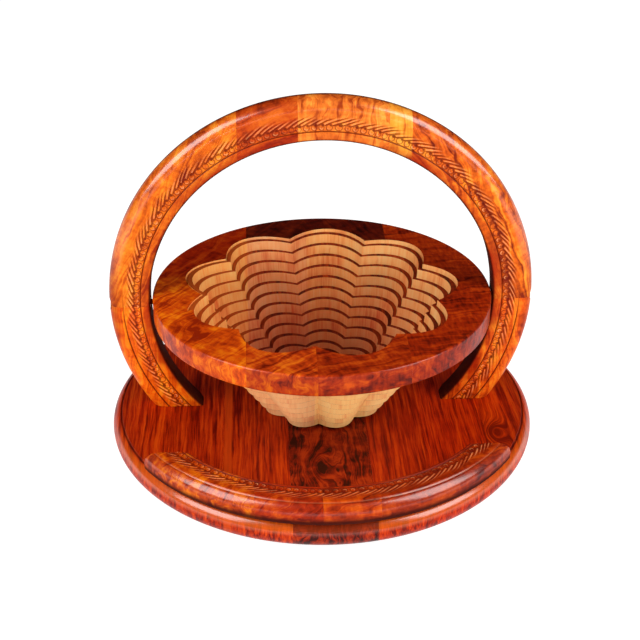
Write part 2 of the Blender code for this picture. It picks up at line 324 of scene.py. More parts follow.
# Stained and varnished hardwood: growth lines, streaks, curl, pores and a knot
def makeWoodFigure():
    tree, given, made = newGroup(
        "stainedWoodFigure",
        [
            ("Place", "Vector", None),
            ("Knot", "Vector", (0, 0, 0)),
            ("Turn", "Vector", (0, 0, 0)),
            ("Shift", "Vector", (0, 0, 0)),
            ("Light", "Color", (1, 1, 1, 1)),
            ("Middle", "Color", (1, 1, 1, 1)),
            ("Dark", "Color", (0, 0, 0, 1)),
            ("Lines", "Float", 180.0),
            ("Wave", "Float", 0.004),
            ("Contrast", "Float", 1.0),
            ("Streaks", "Float", 0.5),
            ("Curl", "Float", 0.2),
            ("Mottle", "Float", 0.5),
            ("Knot Size", "Float", 0.0),
        ],
        [("Color", "Color"), ("Height", "Float"), ("Gloss", "Float")],
    )
    away = vectorMaths("SUBTRACT", given["Place"], given["Knot"])
    turned = newNode(tree, "Mapping", away)
    feed(turned.inputs["Rotation"], given["Turn"])
    turned = Signal(tree, turned.outputs[0])
    across, along, deep = splitVector(turned)
    shifted = vectorMaths("ADD", turned, given["Shift"])

    # the lines part round the knot and close inside it
    knotSize = given["Knot Size"]
    narrow = along * 0.62
    square = across * across + narrow * narrow
    size = knotSize * knotSize + 0.0000001
    parted = maths(tree, "DIVIDE", square, square + size)
    fall = maths(tree, "EXPONENT", maths(tree, "DIVIDE", square, size) * -0.9)
    field = across * parted + knotSize * fall * 1.4

    # slow and quick bends of the growth lines
    stretched = vectorMaths("MULTIPLY", shifted, (1.0, 0.42, 1.0))
    bend = centredNoise(stretched, 34) * 2.4 + centredNoise(stretched, 130) * 1.3
    field = field + bend * given["Wave"]

    # streaks that run with the lines
    lines = given["Lines"]
    counted = joinVector(tree, field * lines, along * lines * 0.034, deep * lines * 0.25)
    lineSpace = vectorMaths("ADD", counted, given["Shift"])
    broad = centredNoise(lineSpace, 0.55)
    medium = centredNoise(lineSpace, 1.7)
    fine = centredNoise(lineSpace, 4.2, 2, 0.6)
    streak = ramp(noise(lineSpace, 1.35, 3, 0.6), 0.55, 0.68)
    hair = ramp(noise(lineSpace, 6.5, 2, 0.5), 0.55, 0.72)
    late = (streak * 0.75 + hair * 0.35) * given["Streaks"]

    # curl: short bands across the grain, which catch the light in turn
    curlSpace = stretch(tree, (across, along, deep), (120.0, 430.0, 120.0))
    curl = centredNoise(vectorMaths("ADD", curlSpace, given["Shift"]), 1.0, 1) * given["Curl"]
    mottle = centredNoise(shifted, 105, 3, 0.55) * given["Mottle"]

    tone = (broad * 0.8 + fine * 1.2 + medium * 1.7) * given["Contrast"]
    tone = tone - late + (curl * 1.6 + mottle * 1.8)
    knotted = maths(tree, "GREATER_THAN", knotSize, 0.0005)
    tone = tone - fall * 0.55 * knotted + 0.5
    shade = blendColour(tree, ramp(tone, 0.0, 0.5), given["Dark"], given["Middle"])
    shade = blendColour(tree, ramp(tone, 0.5, 1.0), shade, given["Light"])

    # open pores, filled with dark stain
    poreSpace = stretch(tree, (field, along, deep), (1900.0, 95.0, 1900.0))
    pores = ramp(noise(poreSpace, 1.0, 1), 0.64, 0.74)
    feed(made["Color"], blendColour(tree, pores * 0.45, shade, given["Dark"]))
    feed(made["Height"], fine * 0.5 + curl * 0.8 - pores * 0.6 - late * 0.3)
    feed(made["Gloss"], broad * 0.16 + pores * 0.2)
    return tree


# Faces left by the saw: fine upright marks, pink and scorched patches, boards of unlike tone, and painted
# shade that darkens them lower in the bowl
def makeSawnFace():
    tree, given, made = newGroup(
        "sawnFace",
        [
            ("Place", "Vector", None),
            ("Path", "Vector", None),
            ("Light", "Color", (1, 1, 1, 1)),
            ("Middle", "Color", (1, 1, 1, 1)),
            ("Dark", "Color", (0, 0, 0, 1)),
            ("Painted Low Shade", "Float", 1.0),
        ],
        [("Color", "Color"), ("Height", "Float")],
    )
    ahead, upward = splitVector(given["Path"])[:2]
    place = splitVector(given["Place"])
    fine = centredNoise(joinVector(tree, ahead * 620.0, upward * 26.0, 0.0), 1.0, 3, 0.6)
    wide = centredNoise(joinVector(tree, ahead * 110.0, upward * 14.0, 0.0))
    patch = centredNoise(given["Place"], 34, 3, 0.6)
    tone = fine * 1.1 + wide * 0.8 + patch * 1.1 + 0.5
    shade = blendColour(tree, ramp(tone, 0.0, 0.5), given["Dark"], given["Middle"])
    shade = blendColour(tree, ramp(tone, 0.5, 1.0), shade, given["Light"])
    boards = newNode(tree, "ValToRGB", place[0] * (1 / (2 * rimRadius)) + 0.5)
    boards.color_ramp.interpolation = "CONSTANT"
    elements = boards.color_ramp.elements
    elements[0].position = 0.0
    elements[0].color = (*sawnBoards["firstTint"], 1)
    elements[1].position = 1.0
    elements[1].color = (*sawnBoards["lastTint"], 1)
    for start, tint in sawnBoards["tints"]:
        element = elements.new(0.5 + start / (2 * rimRadius))
        element.color = (*tint, 1)
    shade = blendColour(tree, 1.0, shade, Signal(tree, boards.outputs[0]), "MULTIPLY")
    # painted shade: the faces darkened, and made redder, towards the bottom of the bowl
    raised = ramp(place[2], footLevel + 10 * mm, pivotHeight, smooth=True)
    shaded = given["Painted Low Shade"] + raised * (1.0 - given["Painted Low Shade"])
    redder = maths(tree, "POWER", shaded, 2.1)
    shade = blendColour(tree, 1.0, shade, joinVector(tree, shaded, redder, redder), "MULTIPLY")
    scorchSpace = joinVector(tree, ahead * 190.0, upward * 90.0, 3.0)
    scorch = ramp(noise(scorchSpace), 0.66, 0.78)
    feed(made["Color"], blendColour(tree, scorch * 0.5, shade, given["Dark"]))
    feed(made["Height"], fine + wide * 0.6)
    return tree


# Dark stain that stays in carved cuts, and the raised parts between them lightened: worn varnish on the ridges
# and a painted highlight on the lit side of each bead
def makeCutStain():
    tree, given, made = newGroup(
        "cutStain",
        [
            ("Color", "Color", (1, 1, 1, 1)),
            ("Cut", "Float", 0.0),
            ("Band", "Float", 0.0),
            ("Place", "Vector", None),
            ("Stain", "Color", colour(106, 23, 5)),
            ("Rubbed And Highlit", "Color", colour(255, 176, 116)),
        ],
        [("Color", "Color")],
    )
    cut = given["Cut"]
    deepPart = ramp(cut, 0.1, 0.8, smooth=True)
    worn = ramp(noise(given["Place"], 90, 2), 0.38, 0.62) * 0.4 + 0.2
    rubbedAndHighlit = ramp(cut, -0.1, -0.9, smooth=True) * worn
    patches = ramp(noise(given["Place"], 42, 2), 0.40, 0.62, smooth=True)
    banded = given["Band"] * (patches * 0.8 + 0.18)
    shade = blendColour(tree, banded, given["Color"], colour(160, 34, 2))
    # lightened raised parts: real wear, with painted highlights on the bead crescents and the rail's outer
    # line
    shade = blendColour(tree, rubbedAndHighlit, shade, given["Rubbed And Highlit"])
    feed(made["Color"], blendColour(tree, deepPart * 0.85, shade, given["Stain"]))
    return tree


sawnBoards = {
    "roughness": 0.62,
    "specular": 0.25,
    "relief": 0.5,
    "reliefDepth": 0.4 * mm,
    # where each glued board begins across the bowl, and its tint
    "firstTint": (1.06, 1.0, 0.74),
    "lastTint": (0.98, 1.0, 1.05),
    "tints": [
        (-0.053, (0.95, 0.82, 0.84)),
        (-0.0083, (1.0, 0.94, 0.80)),
        (0.029, (1.0, 0.98, 0.90)),
    ],
}

woodFigure = makeWoodFigure()
sawnFace = makeSawnFace()
cutStain = makeCutStain()

plainWood = {
    "light": (238, 128, 48),
    "middle": (214, 92, 24),
    "dark": (120, 34, 8),
    "turn": 0.0,
    "lines": 200.0,
    "wave": 0.004,
    "contrast": 1.1,
    "streaks": 0.45,
    "curl": 0.15,
    "mottle": 0.3,
    "knot": (0, 0, 0),
    "knotSize": 0.0,
    "roughness": 0.36,
    "edge": None,
    "zones": [],
    "carved": False,
    "upright": False,
}

varnish = {
    "specular": 0.12,
    "relief": 0.12,
    "reliefDepth": 0.4 * mm,
    "coatRoughness": 0.2,
    "coatIor": 1.9,
    "coatWeight": 0.85,
    "paintedLightShare": 0.6,
    # painted shade: how strongly, and in which colour, the back round, inner edge and foot are darkened
    "backShare": 0.92,
    "backColour": (52, 11, 6),
    "backRoughness": 0.5,
}


def tones(light, middle, dark, **others):
    # the look of one strip of wood
    return {"light": light, "middle": middle, "dark": dark, **others}


def zone(axis, start, end, soft, ragged, share, tint, stain=True):
    # a stretch along one axis that is stained, or painted over, with a colour; some of them are painted shade
    return {
        "axis": axis,
        "from": start,
        "to": end,
        "soft": soft,
        "ragged": ragged,
        "share": share,
        "colour": tint,
        "kind": "MULTIPLY" if stain else "MIX",
    }


def principled(name):
    material = bpy.data.materials.new(name)
    material.use_nodes = True
    return material, material.node_tree, material.node_tree.nodes["Principled BSDF"]


def objectPlace(tree):
    return Signal(tree, tree.nodes.new("ShaderNodeTexCoord").outputs["Object"])


def useGroup(tree, group, **inputs):
    node = newNode(tree, "Group")
    node.node_tree = group
    for label, value in inputs.items():
        feed(node.inputs[label], value)
    return node


def addBump(shader, height, strength, distance):
    bump = newNode(height.tree, "Bump")
    feed(bump.inputs["Strength"], strength)
    feed(bump.inputs["Distance"], distance)
    feed(bump.inputs["Height"], height)
    feed(shader.inputs["Normal"], Signal(height.tree, bump.outputs[0]))


def readAttribute(tree, name):
    node = newNode(tree, "Attribute")
    node.attribute_name = name
    return Signal(tree, node.outputs["Fac"])


def stainZone(tree, shade, part):
    place = objectPlace(tree)
    wander = (noise(place, 60, 3) - 0.5) * part["ragged"]
    place = splitVector(place)[part["axis"]] + wander
    begun = ramp(place, part["from"], part["from"] + part["soft"])
    ended = ramp(place, part["to"] - part["soft"], part["to"])
    inside = (begun - ended) * part["share"]
    return blendColour(tree, inside, shade, colour(*part["colour"]), part["kind"])


def varnishedWood(name, seed, **changes):
    look = {**plainWood, **changes}
    material, tree, shader = principled(name)
    place = objectPlace(tree)
    wood = useGroup(tree, woodFigure, Place=place, Knot=look["knot"])
    lay = -90 if look["upright"] else 0
    wood.inputs["Turn"].default_value = (math.radians(lay), 0, math.radians(look["turn"]))
    random.seed(seed)
    wood.inputs["Shift"].default_value = [random.uniform(-9, 9) for axis in range(3)]
    for tone in ("Light", "Middle", "Dark"):
        wood.inputs[tone].default_value = colour(*look[tone.lower()])
    for label in ("Lines", "Wave", "Contrast", "Streaks", "Curl", "Mottle"):
        wood.inputs[label].default_value = look[label.lower()]
    wood.inputs["Knot Size"].default_value = look["knotSize"]
    shade = Signal(tree, wood.outputs["Color"])
    if look["carved"]:
        cut = readAttribute(tree, "cutDepth")
        band = readAttribute(tree, "innerBand")
        stain = useGroup(tree, cutStain, Color=shade, Place=place, Cut=cut, Band=band)
        shade = Signal(tree, stain.outputs["Color"])
    for part in look["zones"]:
        shade = stainZone(tree, shade, part)
    polish = readAttribute(tree, "polish")
    backEdge = readAttribute(tree, "backEdge")
    # painted light: the glossy upper front of the base's bead lightened towards its edge colour
    if look["edge"]:
        shade = blendColour(tree, polish * varnish["paintedLightShare"], shade, colour(*look["edge"]))
    # painted shade: a dark colour laid on the back round and inner edge of the ring and on the foot and groove
    # of the base
    shade = blendColour(tree, backEdge * varnish["backShare"], shade, colour(*varnish["backColour"]))
    rough = Signal(tree, wood.outputs["Gloss"]) + look["roughness"] + backEdge * varnish["backRoughness"]
    addBump(shader, Signal(tree, wood.outputs["Height"]), varnish["relief"], varnish["reliefDepth"])
    for label, value in {
        "Base Color": shade,
        "Roughness": rough,
        "Specular IOR Level": varnish["specular"],
        "Coat Roughness": varnish["coatRoughness"],
        "Coat IOR": varnish["coatIor"],
        "Coat Weight": polish * varnish["coatWeight"],
    }.items():
        feed(shader.inputs[label], value)
    return material


def sawnWood(name, light, middle, dark, paintedLowShade=1.0):
    material, tree, shader = principled(name)
    path = Signal(tree, newNode(tree, "UVMap").outputs[0])
    sawn = useGroup(tree, sawnFace, Place=objectPlace(tree), Path=path)
    for tone, value in (("Light", light), ("Middle", middle), ("Dark", dark)):
        sawn.inputs[tone].default_value = colour(*value)
    sawn.inputs["Painted Low Shade"].default_value = paintedLowShade
    feed(shader.inputs["Base Color"], Signal(tree, sawn.outputs["Color"]))
    feed(shader.inputs["Roughness"], sawnBoards["roughness"])
    feed(shader.inputs["Specular IOR Level"], sawnBoards["specular"])
    addBump(shader, Signal(tree, sawn.outputs["Height"]), sawnBoards["relief"], sawnBoards["reliefDepth"])
    return material


def setShare(obj, name, amount):
    # a value of 0 to 1 at each point, from a function of its place
    attribute = obj.data.attributes.get(name) or obj.data.attributes.new(name, "FLOAT", "POINT")
    for vertex, value in zip(obj.data.vertices, attribute.data):
        value.value = amount(vertex.co)


def easeStep(value, low, high):
    share = min(1.0, max(0.0, (value - low) / (high - low)))
    return share * share * (3 - 2 * share)


# Base: seven boards glued side by side, turned to a disc with a groove and a half-round edge
base = {
    "steps": 288,
    "edgeSteps": 26,
    "quirkInset": 6.2 * mm,
    "quirkWidth": 1.8 * mm,
    "quirkDepth": 1.4 * mm,
    "quirkFlank": (0.6, 0.75),
    "flatInset": 12 * mm,
    "joint": 0.03 * mm,
    "backShade": 2.6 * mm,
    "polishWidth": 3 * mm,
    "polishLow": 10.5 * mm,
    "polishHigh": 15 * mm,
    "polishFront": (10 * mm, 80 * mm),
    "quirkShade": (0.8, 0.3 * mm, 1.2 * mm),
    "seed": 11,
    "boards": [
        tones((220, 78, 8), (188, 46, 3), (118, 12, 1)),
        tones((212, 70, 8), (178, 42, 3), (106, 12, 1)),
        tones(
            (212, 72, 8), (180, 44, 4), (106, 12, 2),
            zones=[zone(0, -0.0712, -0.0650, 0.001, 0.0, 0.7, (206, 72, 12), stain=False)],
        ),
        tones(
            (178, 54, 11), (132, 27, 5), (52, 8, 3),
            # edge: painted light on this board's bead
            edge=(150, 52, 14), mottle=1.3, wave=0.007, contrast=1.3, knot=(-0.004, -0.088, 0),
            knotSize=0.009,
        ),
        tones((212, 68, 6), (178, 40, 3), (108, 13, 2)),
        tones((218, 68, 5), (190, 42, 3), (118, 15, 2)),
        tones((222, 78, 6), (198, 52, 3), (122, 18, 2), knot=(0.121, -0.053, 0), knotSize=0.0075),
    ],
}

baseWood = {
    "lines": 300,
    "wave": 0.0012,
    "contrast": 1.3,
    "streaks": 0.4,
    "curl": 0.05,
    "mottle": 0.2,
    # edge: painted light, the colour of the lit upper front of the bead
    "edge": (222, 98, 10),
}


def baseOutline():
    radius = baseHigh.x
    height = baseHigh.z
    bead = (radius - height / 2, height / 2)
    quirk = radius - base["quirkInset"]
    half = base["quirkWidth"] / 2
    depth = base["quirkDepth"]
    across, down = base["quirkFlank"]
    outline = [(0, height), (quirk - base["flatInset"], height), (quirk - half, height)]
    outline += [(quirk - half * across, height - depth * down), (quirk, height - depth)]
    outline += [(quirk + half * across, height - depth * down)]
    for point in arcPoints(bead, height / 2, 90, -90, base["edgeSteps"]):
        if point[0] > quirk + half or point[1] < height / 2:
            outline.append(point)
    return outline + [(quirk - base["flatInset"], 0), (0, 0)]


def basePolish(place):
    edge = baseHigh.x - base["quirkInset"]
    polish = easeStep(place.xy.length, edge, edge + base["polishWidth"])
    polish *= easeStep(place.z, base["polishLow"], base["polishHigh"])
    return polish * easeStep(-place.y, *base["polishFront"])


def basePaintedShade(place):
    # painted shade along the foot and in the groove
    edge = baseHigh.x - base["quirkInset"]
    share, near, far = base["quirkShade"]
    groove = share - share * easeStep(abs(place.xy.length - edge), near, far)
    return max(1 - easeStep(place.z, 0, base["backShade"]), groove)


def buildBase():
    whole = turnedSolid("baseWhole", baseOutline(), base["steps"])
    seams = seamsOf([f"base_board_{count + 1}" for count in range(len(base["boards"]))])
    for count, look in enumerate(base["boards"]):
        board = copyOf(whole, f"base_board_{count + 1}_wood")
        cutStrip(board, seams, count, base["joint"])
        smoothShade(board, sharpDegrees)
        setShare(board, "polish", basePolish)
        setShare(board, "backEdge", basePaintedShade)
        material = varnishedWood(board.name, base["seed"] + count, **{**baseWood, **look})
        finishPiece(board, "base", [f"base_board_{count + 1}"], [material])
    removeObject(whole)
    print("stage: base boards")


# Ring: one carved board, its upper part the handle and its lower front part the rail
ring = {
    "width": 28.7 * mm,
    "innerBand": 6.6 * mm,
    "lineInset": 10.0 * mm,
    "shoulderRound": 8.5 * mm,
    "backRound": 4.0 * mm,
    "innerChamfer": 1.6 * mm,
    "lineHalfWidth": 0.56 * mm,
    "lineDepth": 0.7 * mm,
    "pointSpacing": 0.42 * mm,
    "stepDegrees": 0.18,
    "joint": 0.03 * mm,
    "footEase": 3.7 * mm,
    "backInset": 13 * mm,
    "backInnerInset": 6 * mm,
    "backInnerRound": 0.8 * mm,
    "bandBeyond": 1.2 * mm,
    "spareDegrees": 1.5,
    "backShade": (4.0 * mm, 7.0 * mm),
    "paintedShadeInner": (0.4 * mm, 1.6 * mm),
    "polishIn": (0.3 * mm, 3.2 * mm),
    "polishRise": 3.5 * mm,
    "polishHeight": (0, 80 * mm),
    "smoothDegrees": 50,
    "seed": 51,
}

rail = {
    "forward": 5.0 * mm,
    "width": 23.1 * mm,
    "innerBand": 2.6 * mm,
    "lineInset": 6.0 * mm,
    "degrees": (-150, -30),
    "polish": 0.8,
    # painted highlight: a thin light line along the rail's outer carved line
    "highlightLine": -0.4,
    "highlightLineHalfWidth": 0.5 * mm,
    "seed": 31,
}

carving = {
    "pitch": 5.2 * mm,
    "beadOut": 2.7 * mm,
    "beadRadius": 1.6 * mm,
    "beadDepth": 0.42 * mm,
    "stabAlong": 0.9 * mm,
    "stabOut": 4.4 * mm,
    "stabRadius": 1.0 * mm,
    "stabDepth": 0.85 * mm,
    "moatOut": 0.3 * mm,
    "moatHalfWidth": 0.4 * mm,
    "clear": 0.4 * mm,
    "leafOut": 3.2 * mm,
    "leafWidth": 9.6 * mm,
    "leafReach": 2.0 * mm,
    "leafLean": 2.1,
    "cutHalfWidth": 0.58 * mm,
    "cutDepth": 0.6 * mm,
    "outerLine": (-0.25, 0.25),
    "lineFall": 1.6,
    # the lit crescent of each bead, a painted highlight on its inner side
    "crescentIn": (0.2 * mm, 1.0 * mm),
    "crescentOut": (1.3 * mm, 1.7 * mm),
    "crescentSide": (-0.8 * mm, 0.6 * mm),
    "crescentLean": 0.4,
    "leafStart": 0.1,
    "leafTail": 0.5,
    "leafCurve": 1.1,
    "leafEndClear": 0.6 * mm,
    "ridgeShare": 0.95,
    "ridgeBeside": 0.95 * mm,
    "ridgeHalfWidth": 0.4 * mm,
    "stainFrom": 0.2,
    # hand work: a middle value, how far it strays, how quickly from cut to cut, and from where
    "aroundStrays": [(0, 0.7 * mm, 17.0, 0), (0, 0.4 * mm, 41.0, 1.3)],
    "beadStray": (0, 0.3 * mm, 12.9, 0),
    "beadCrescentHighlight": (0.65, 0.25, 5.3, 0),
    "stabForce": (0.85, 0.3, 3.7, 0),
    "leafStray": (0, 0.35 * mm, 7.7, 0),
    "leafEnd": (0.9, 0.1, 5.1, 0),
    "leafForce": (0.88, 0.12, 2.3, 1),
}

shoulderStart = ringOuter - ring["shoulderRound"]


def ringRadii(shape):
    # inner edge, inner carved line and outer carved line
    inner = ringOuter - shape["width"]
    return inner, inner + shape["innerBand"], ringOuter - shape["lineInset"]


def faceHeight(radius):
    # the carved side before carving: flat, then falling away over the shoulder
    past = max(0.0, radius - shoulderStart)
    rounding = ring["shoulderRound"]
    return halfBoard - rounding + math.sqrt(rounding ** 2 - past * past)


def byHand(number, variation):
    middle, spread, rate, start = variation
    return middle + spread * math.sin(number * rate + start)


def bell(off):
    # the round bottom of a cut, 1 in its middle
    return math.exp(-off * off)


def carvedShape(radius, angle, innerLine, outerLine):
    # how far the carver's cuts go below the face of the ring, and how much a raised part is lightened: worn
    # ridges beside the cuts and a painted highlight on one side of each bead
    depth = 0.0
    ridgeWearAndHighlight = 0.0
    lowered = 1 - easeStep(math.sin(angle), *carving["outerLine"])
    for line, share in ((innerLine, 1.0), (outerLine, lowered)):
        off = abs(radius - line) / ring["lineHalfWidth"]
        if off < carving["lineFall"]:
            depth = max(depth, share * ring["lineDepth"] * math.exp(-off * off * carving["lineFall"]))
    out = radius - innerLine
    leafEnd = outerLine + carving["leafReach"] * (1 - lowered)
    if out < carving["clear"] or radius > leafEnd - carving["clear"]:
        return depth, ridgeWearAndHighlight
    pitch = carving["pitch"]
    around = -angle * (innerLine + carving["beadOut"])
    around += sum(byHand(angle, stray) for stray in carving["aroundStrays"])
    count = round(around / pitch)
    for bead in (count - 1, count, count + 1):
        side = around - bead * pitch - byHand(bead, carving["beadStray"])
        reach = math.hypot(side, out - carving["beadOut"])
        # painted highlight: a lit crescent on the inner side of each bead
        crescent = easeStep(reach, *carving["crescentIn"]) * (1 - easeStep(reach, *carving["crescentOut"]))
        lean = carving["beadOut"] - out - carving["crescentLean"] * side
        crescent *= easeStep(lean, *carving["crescentSide"])
        ridgeWearAndHighlight = max(ridgeWearAndHighlight, byHand(bead, carving["beadCrescentHighlight"]) * crescent)
        moat = (reach - carving["beadRadius"] - carving["moatOut"]) / carving["moatHalfWidth"]
        depth = max(depth, carving["beadDepth"] * bell(moat))
        stab = math.hypot(side - carving["stabAlong"], out - carving["stabOut"]) / carving["stabRadius"]
        depth = max(depth, byHand(bead, carving["stabForce"]) * carving["stabDepth"] * bell(stab))
    leafWidth = leafEnd - innerLine - carving["leafOut"] - carving["leafEndClear"]
    leafWidth = min(carving["leafWidth"], leafWidth)
    leaf = (out - carving["leafOut"]) / leafWidth
    if 0 < leaf < 1:
        bent = carving["leafLean"] * leafWidth * (leaf ** carving["leafCurve"])
        shifted = around - carving["stabAlong"] - bent
        leafCount = round(shifted / pitch)
        off = shifted - leafCount * pitch - byHand(leafCount, carving["leafStray"])
        perpendicular = off / math.hypot(1, carving["leafLean"])
        end = byHand(leafCount, carving["leafEnd"])
        fade = easeStep(leaf, 0.0, carving["leafStart"]) * (1 - easeStep(leaf, end - carving["leafTail"], end))
        fade *= byHand(leafCount, carving["leafForce"])
        depth = max(depth, fade * carving["cutDepth"] * bell(perpendicular / carving["cutHalfWidth"]))
        beside = (abs(perpendicular) - carving["ridgeBeside"]) / carving["ridgeHalfWidth"]
        ridgeWearAndHighlight = max(ridgeWearAndHighlight, carving["ridgeShare"] * fade * bell(beside))
    return depth, ridgeWearAndHighlight


def ringOutline(shape):
    inner, innerLine, outerLine = ringRadii(shape)
    top = halfBoard
    chamfer = ring["innerChamfer"]
    corner = ring["backInnerRound"]
    shoulder = (shoulderStart, top - ring["shoulderRound"])
    back = (ringOuter - ring["backRound"], ring["backRound"] - top)
    first = max(innerLine - ring["bandBeyond"], inner + chamfer + 0.2 * mm)
    last = outerLine + carving["leafReach"] + 0.2 * mm
    rounded = arcPoints(shoulder, ring["shoulderRound"], 90, 0, 16)
    outline = [point for point in rounded if point[0] > last + 0.1 * mm]
    outline += arcPoints(back, ring["backRound"], 0, -90, 6)
    outline += [(ringOuter - ring["backInset"], -top), (inner + ring["backInnerInset"], -top)]
    outline += arcPoints((inner + corner, corner - top), corner, -90, -180, 2)
    outline += arcPoints((inner + chamfer, top - chamfer), chamfer, 180, 90, 4)
    count = round((last - first) / ring["pointSpacing"])
    for step in range(count + 1):
        radius = first + (last - first) * step / count
        outline.append((radius, faceHeight(radius)))
    return outline


def ringSpan(left, right, inner, lower):
    # the angles that a strip between two places across X takes in, with a little to spare
    spare = math.radians(ring["spareDegrees"])
    angles = []
    for radius in (inner, ringOuter):
        for place in (left, right):
            angles.append(math.acos(max(-1.0, min(1.0, place / radius))))
    low = min(angles) - spare
    high = max(angles) + spare
    return (-high, -low) if lower else (low, high)


def ringShares(strip, shape):
    # attributes for the stained inner band, the painted shade at the back and along the inner edge, and the
    # glossy shoulder
    inner, innerLine = ringRadii(shape)[:2]
    foot = halfBoard - 0.9 * ring["shoulderRound"]

    def band(place):
        radius = place.xy.length
        fading = 0.6 * easeStep(radius, inner, innerLine)
        return 1 - fading - 0.4 * easeStep(radius, innerLine - 0.2 * mm, innerLine)

    # painted shade: darker on the back round and along the inner edge
    def dark(place):
        low, high = ring["backShade"]
        near, far = ring["paintedShadeInner"]
        back = 1 - easeStep(place.z, low - halfBoard, high - halfBoard)
        return max(back, 1 - easeStep(place.xy.length, inner + near, inner + far))

    def glossy(place):
        start, end = ring["polishIn"]
        polish = easeStep(place.xy.length, shoulderStart + start, shoulderStart + end)
        polish *= easeStep(place.z, foot, foot + ring["polishRise"])
        return polish * (rail["polish"] if shape is rail else easeStep(place.y, *ring["polishHeight"]))

    setShare(strip, "innerBand", band)
    setShare(strip, "backEdge", dark)
    setShare(strip, "polish", glossy)


def ringStrip(name, low, high, shape):
    # a stretch of the carved ring between two angles, lying flat, carved side up
    innerLine, outerLine = ringRadii(shape)[1:]
    strip = addOutline(name, ringOutline(shape), turn=high)
    steps = max(6, round(math.degrees(high - low) / ring["stepDegrees"]))
    spinOutline(strip, steps, high - low)
    ringShares(strip, shape)
    carvedEnd = outerLine + carving["leafReach"] + carving["clear"]
    cuts = strip.data.attributes.new("cutDepth", "FLOAT", "POINT")
    for vertex, cut in zip(strip.data.vertices, cuts.data):
        radius = vertex.co.xy.length
        if radius > carvedEnd or vertex.co.z < faceHeight(radius) - 0.001 * mm:
            continue
        depth, ridgeWearAndHighlight = carvedShape(radius, math.atan2(vertex.co.y, vertex.co.x), innerLine, outerLine)
        share = depth / carving["cutDepth"]
        cut.value = share if share > carving["stainFrom"] else -ridgeWearAndHighlight
        # painted highlight: a thin light line along the rail's outer carved line
        if shape is rail and abs(radius - outerLine) < rail["highlightLineHalfWidth"]:
            cut.value = rail["highlightLine"]
        vertex.co.z -= depth
    return strip


ringWood = {
    "lines": 150,
    "wave": 0.008,
    "contrast": 0.85,
    "streaks": 0.25,
    "mottle": 0.75,
    "curl": 0.25,
}

railLooks = [
    tones(
        (228, 118, 14), (188, 64, 5), (120, 26, 3),
        turn=50, wave=0.014, streaks=0.35, mottle=1.2, curl=0.4,
    ),
    tones((210, 84, 10), (168, 42, 4), (100, 15, 3), turn=60, wave=0.010, mottle=0.8),
    tones((220, 96, 10), (176, 52, 5), (92, 15, 3), turn=76, wave=0.012, mottle=0.7, streaks=0.3),
    tones((202, 78, 12), (154, 42, 5), (86, 13, 3), turn=60, wave=0.010, mottle=0.5),
]


def buildRail():
    seams = seamsOf([f"rail_segment_{count + 1}" for count in range(len(railLooks))])
    front = footLevel - pivotHeight
    middle = footLevel + halfBoard
    ends = [-ringOuter] + seams + [ringOuter]
    for count, look in enumerate(railLooks):
        low, high = ringSpan(ends[count], ends[count + 1], ringOuter - rail["width"], lower=True)
        low = max(low, math.radians(rail["degrees"][0]))
        high = min(high, math.radians(rail["degrees"][1]))
        piece = ringStrip(f"rail_segment_{count + 1}_carved", low, high, rail)
        cutStrip(piece, seams, count, ring["joint"])
        cutOff(piece, (0, front, 0), (0, 1, 0))
        piece.data.transform(Matrix.Translation((0, -rail["forward"], middle)))
        smoothShade(piece, ring["smoothDegrees"])
        material = varnishedWood(piece.name, rail["seed"] + count, carved=True, **{**ringWood, **look})
        finishPiece(piece, "base", [f"rail_segment_{count + 1}"], [material])
    print("stage: rail")


# painted shade: the outer sides of the left and right limbs darkened
leftLimbPaintedShade = zone(0, -0.5, -0.139, 0.006, 0.006, 1.0, (206, 182, 140))
rightLimbPaintedShade = zone(0, 0.141, 0.5, 0.006, 0.006, 1.0, (222, 206, 150))

legLooks = {
    "left": tones((255, 148, 26), (240, 98, 12), (168, 46, 4), turn=4, zones=[leftLimbPaintedShade]),
    "right": tones((255, 146, 34), (232, 92, 16), (150, 38, 6), turn=-4, zones=[rightLimbPaintedShade]),
}

crownLooks = [
    tones((246, 148, 36), (216, 97, 17), (142, 40, 6), turn=24, zones=[leftLimbPaintedShade]),
    tones((216, 100, 24), (188, 65, 12), (104, 22, 6), turn=70),
    tones((255, 172, 66), (236, 120, 38), (160, 56, 14), turn=6, wave=0.010, streaks=0.5),
    tones((255, 182, 72), (246, 156, 46), (196, 92, 22), turn=0),
    tones((244, 136, 38), (212, 88, 20), (112, 26, 8), turn=-30, streaks=0.6),
    tones((255, 160, 44), (226, 100, 20), (128, 34, 7), turn=-20, streaks=0.4, zones=[rightLimbPaintedShade]),
]

screw = {
    "shankRadius": 2.1 * mm,
    "headRadius": 4.4 * mm,
    "headHeight": 2.8 * mm,
    "pointLength": 3.0 * mm,
    "threadPitch": 1.6 * mm,
    "threadDepth": 0.45 * mm,
    "slotWidth": 1.0 * mm,
    "slotDepth": 1.0 * mm,
    "holeClearance": 0.3 * mm,
    "holeBeyond": 10 * mm,
    "plainLength": 14 * mm,
    "edgeBreak": (0.25 * mm, 0.2 * mm),
    "sides": 40,
    "smoothDegrees": 35,
}


def screwEnds(side):
    # head top and point of a pivot screw along X
    low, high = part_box("pivot_screw_" + ("left" if side < 0 else "right"))
    return (low.x, high.x) if side < 0 else (high.x, low.x)


def layAlongX(obj, side, head):
    obj.data.transform(Matrix.Rotation(math.pi / 2 * side, 4, "Y"))
    obj.data.transform(Matrix.Translation((head, 0, pivotHeight)))


